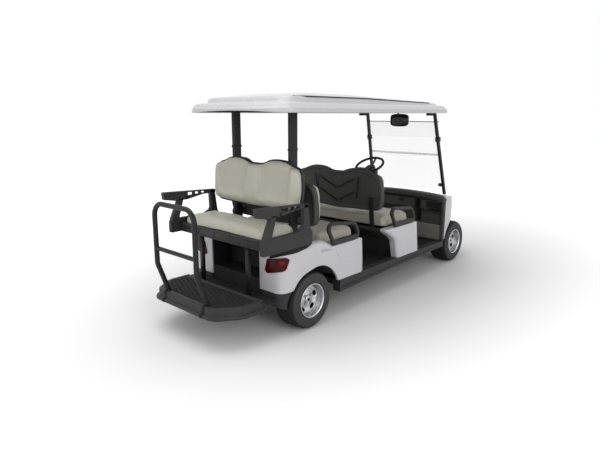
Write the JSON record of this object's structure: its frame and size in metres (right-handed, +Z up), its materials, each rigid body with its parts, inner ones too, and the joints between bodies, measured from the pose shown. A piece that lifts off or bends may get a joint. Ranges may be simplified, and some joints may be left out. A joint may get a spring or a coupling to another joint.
{
  "type": "six-seat golf cart",
  "caption": "Open-sided golf cart with two forward bench seats, a rear-facing flip seat over a footplate, grab bar, long roof and folding-type windscreen.",
  "frame": {"origin": "on the ground, under the centre of the bounding box", "axes": "+X towards the nose, +Y to the driver's left side, +Z up"},
  "size_m": [3.82, 1.182, 1.8149],
  "materials": {
    "body_paint": "moulded-in silver grey body panels",
    "dark_plastic": "fine-grained dark grey moulding",
    "dark_steel": "dark grey powder coat",
    "seat_vinyl": "stone beige vinyl",
    "clear_glass": "clear acrylic windscreen",
    "lamp_red": "deep red lens",
    "lamp_clear": "clear lens",
    "tyre_rubber": "matt tread rubber",
    "wheel_silver": "bright silver wheel"
  },
  "bodies": {
    "cart": {"chassis_frame": "dark_steel", "floor_pan": "dark_plastic", "sills": "dark_plastic", "rear_body": "body_paint", "bagwell": "dark_plastic", "rear_bumper": "dark_plastic", "wheel_liners": "dark_plastic", "tail_lamps": "lamp_red", "front_seat_pod": "dark_plastic", "pod_side_panels": "body_paint", "front_cowl": "body_paint", "front_bumper": "dark_plastic", "headlamps": "lamp_clear", "dashboard": "dark_plastic", "roof_posts": "dark_steel", "windscreen": "clear_glass", "roof": "body_paint", "mirror": "dark_plastic", "back_shell_front": "dark_plastic", "back_shell_mid": "dark_plastic", "back_shell_rear": "dark_plastic", "back_pad_front": "seat_vinyl", "back_pad_mid": "seat_vinyl", "back_pad_rear": "seat_vinyl", "back_brackets": "dark_steel", "armrests": "dark_plastic", "rear_seat_frame": "dark_plastic", "footplate": "dark_plastic", "grab_bar": "dark_steel", "steering_column": "dark_plastic", "front_axle": "dark_steel", "rear_axle": "dark_steel", "leaf_springs": "dark_steel", "battery_pack": "dark_plastic"},
    "wheel_front_left": {"tyre_front_left": "tyre_rubber", "rim_front_left": "wheel_silver"},
    "wheel_front_right": {"tyre_front_right": "tyre_rubber", "rim_front_right": "wheel_silver"},
    "wheel_rear_left": {"tyre_rear_left": "tyre_rubber", "rim_rear_left": "wheel_silver"},
    "wheel_rear_right": {"tyre_rear_right": "tyre_rubber", "rim_rear_right": "wheel_silver"},
    "steer_knuckle_left": {"knuckle_left": "dark_steel"},
    "steer_knuckle_right": {"knuckle_right": "dark_steel"},
    "steering": {"steering_wheel": "dark_plastic"},
    "seat_front": {"cushion_front": "seat_vinyl"},
    "seat_mid": {"cushion_mid": "seat_vinyl"},
    "seat_rear": {"cushion_rear": "seat_vinyl"}
  },
  "joints": [
    {"name": "front_left_wheel_spin", "type": "hinge", "parent": "steer_knuckle_left", "child": "wheel_front_left", "pos_m": [1.456, 0.426, 0.229], "axis": [0, 1, 0], "continuous": true},
    {"name": "front_right_wheel_spin", "type": "hinge", "parent": "steer_knuckle_right", "child": "wheel_front_right", "pos_m": [1.456, -0.426, 0.229], "axis": [0, 1, 0], "continuous": true},
    {"name": "rear_left_wheel_spin", "type": "hinge", "parent": "cart", "child": "wheel_rear_left", "pos_m": [-1.059, 0.483, 0.229], "axis": [0, 1, 0], "continuous": true},
    {"name": "rear_right_wheel_spin", "type": "hinge", "parent": "cart", "child": "wheel_rear_right", "pos_m": [-1.059, -0.483, 0.229], "axis": [0, 1, 0], "continuous": true},
    {"name": "steering_turn", "type": "hinge", "parent": "cart", "child": "steering", "pos_m": [0.866, 0.26, 1.085], "axis": [-0.4695, 0, 0.8829], "range_deg": [-450, 450]},
    {"name": "steer_left", "type": "hinge", "parent": "cart", "child": "steer_knuckle_left", "pos_m": [1.456, 0.36, 0.229], "axis": [0, 0, 1], "range_deg": [-30, 30]},
    {"name": "steer_right", "type": "hinge", "parent": "cart", "child": "steer_knuckle_right", "pos_m": [1.456, -0.36, 0.229], "axis": [0, 0, 1], "range_deg": [-30, 30]},
    {"name": "front_seat_lift", "type": "hinge", "parent": "cart", "child": "seat_front", "pos_m": [0.511, 0, 0.615], "axis": [0, 1, 0], "range_deg": [0, 80]},
    {"name": "mid_seat_lift", "type": "hinge", "parent": "cart", "child": "seat_mid", "pos_m": [-0.399, 0, 0.615], "axis": [0, 1, 0], "range_deg": [0, 80]},
    {"name": "rear_seat_flip", "type": "hinge", "parent": "cart", "child": "seat_rear", "pos_m": [-1.479, 0, 0.76], "axis": [0, -1, 0], "range_deg": [0, 180]}
  ],
  "couplings": [
    {"joint": "steer_left", "follows": "steering_turn", "ratio": 0.066667},
    {"joint": "steer_right", "follows": "steering_turn", "ratio": 0.066667}
  ]
}
